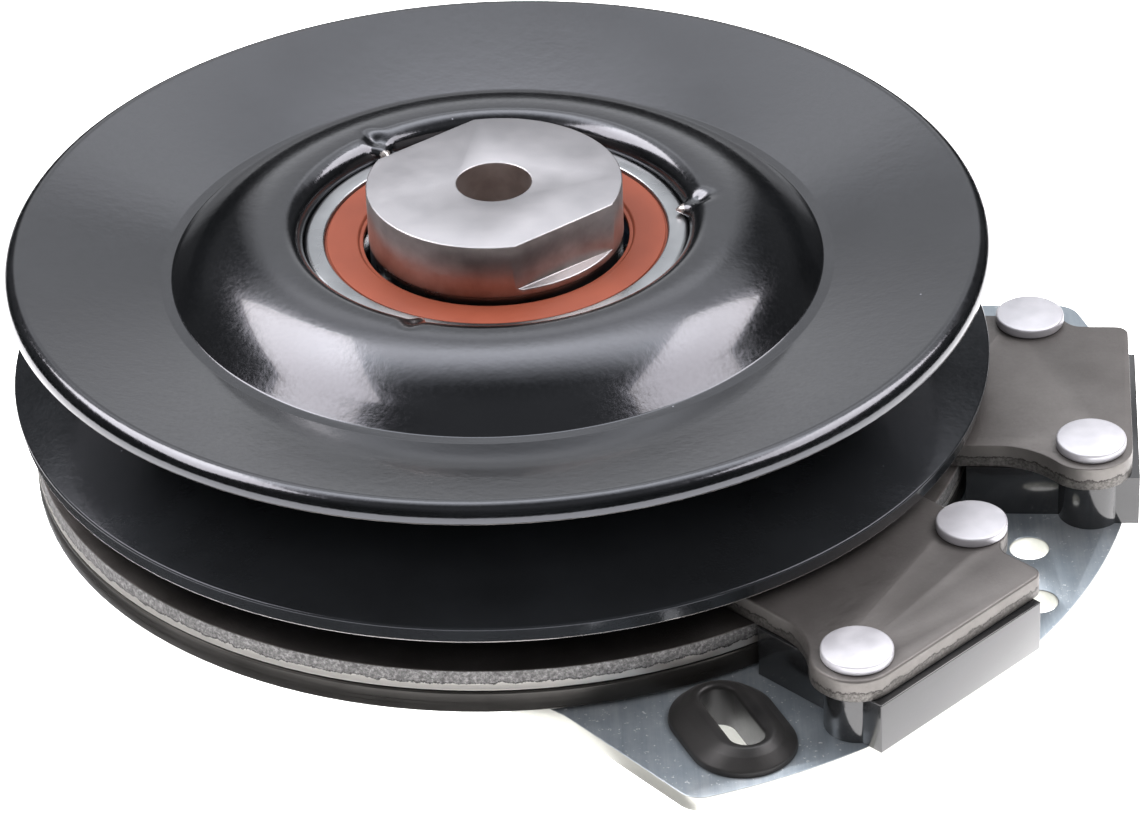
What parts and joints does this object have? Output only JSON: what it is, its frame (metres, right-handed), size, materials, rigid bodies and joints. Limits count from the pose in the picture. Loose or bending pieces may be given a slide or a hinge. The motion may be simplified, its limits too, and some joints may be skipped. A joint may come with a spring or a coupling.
{
  "type": "electromagnetic clutch brake",
  "caption": "Electromagnetic clutch-brake with a pressed V-belt pulley on a keyed hub, riveted brake poles with magnets, and a mounting plate with a rubber-lined slot.",
  "frame": {"origin": "on the shaft axis, at the engine end of the rotor hub's keyed bore", "axes": "+Z along the shaft from the engine end to the arbor's head; the mounting plate's fan points between +X and -Y"},
  "size_m": [0.1834, 0.1783, 0.0645],
  "materials": {
    "black_paint": "gloss",
    "machined_steel": "satin",
    "bearing_steel": "polished",
    "spring_steel": "satin",
    "seal_rubber": "satin",
    "zinc_plate": "satin",
    "zinc_rivet": "satin",
    "bare_pole_steel": "satin",
    "armature_steel": "satin",
    "rotor_steel": "satin",
    "magnet_plastic": "gloss",
    "ferrite": "matte",
    "grommet_rubber": "satin",
    "bobbin_plastic": "matte",
    "copper_winding": "satin",
    "brass_blade": "satin"
  },
  "bodies": {
    "field_assembly": {"mounting_plate": "zinc_plate", "field_shell": "zinc_plate", "coil_bobbin": "bobbin_plastic", "coil_winding": "copper_winding", "lead_socket": "magnet_plastic", "socket_pins": "brass_blade", "field_bearing_outer_ring": "bearing_steel", "field_bearing_seal_upper": "seal_rubber", "field_bearing_seal_lower": "seal_rubber", "shell_retaining_ring": "spring_steel", "slot_grommet": "grommet_rubber", "brake_pole_front": "bare_pole_steel", "brake_pole_rear": "bare_pole_steel", "magnet_holder_front": "magnet_plastic", "magnet_holder_rear": "magnet_plastic", "brake_magnet_front": "ferrite", "brake_magnet_rear": "ferrite", "pole_rivets": "zinc_rivet", "plate_rivets": "zinc_rivet"},
    "rotor_assembly": {"rotor_disc": "rotor_steel", "rotor_hub": "machined_steel", "arbor": "machined_steel", "field_bearing_inner_ring": "bearing_steel", "hub_retaining_ring": "spring_steel", "pulley_bearing_inner_ring": "bearing_steel"},
    "field_ball_set": {"field_bearing_balls": "bearing_steel", "field_bearing_cage": "bobbin_plastic"},
    "pulley_ball_set": {"pulley_bearing_balls": "bearing_steel", "pulley_bearing_cage": "bobbin_plastic"},
    "pulley_assembly": {"pulley_upper_half": "black_paint", "pulley_lower_half": "black_paint", "spring_carrier": "black_paint", "pulley_bearing_outer_ring": "bearing_steel", "pulley_bearing_seal_upper": "seal_rubber", "pulley_bearing_seal_lower": "seal_rubber", "leaf_springs": "spring_steel", "carrier_rivets": "zinc_rivet"},
    "armature_assembly": {"armature_plate": "armature_steel", "armature_rivets": "zinc_rivet"}
  },
  "joints": [
    {"name": "rotor_spin", "type": "hinge", "parent": "field_assembly", "child": "rotor_assembly", "pos_m": [0, 0, 0.0089], "axis": [0, 0, 1], "continuous": true},
    {"name": "pulley_spin", "type": "hinge", "parent": "rotor_assembly", "child": "pulley_assembly", "pos_m": [0, 0, 0.0472], "axis": [0, 0, 1], "continuous": true},
    {"name": "armature_slide", "type": "slide", "parent": "pulley_assembly", "child": "armature_assembly", "axis": [0, 0, -1], "range_m": [0, 0.00038], "stiffness_N_per_m": 12000, "springref_m": -0.001, "deforming": ["leaf_springs"]},
    {"name": "field_balls_orbit", "type": "hinge", "parent": "field_assembly", "child": "field_ball_set", "pos_m": [0, 0, 0.0089], "axis": [0, 0, 1], "continuous": true},
    {"name": "pulley_balls_orbit", "type": "hinge", "parent": "rotor_assembly", "child": "pulley_ball_set", "pos_m": [0, 0, 0.0472], "axis": [0, 0, 1], "continuous": true}
  ],
  "couplings": [
    {"joint": "field_balls_orbit", "follows": "rotor_spin", "ratio": 0.4338},
    {"joint": "pulley_balls_orbit", "follows": "pulley_spin", "ratio": 0.6018}
  ]
}
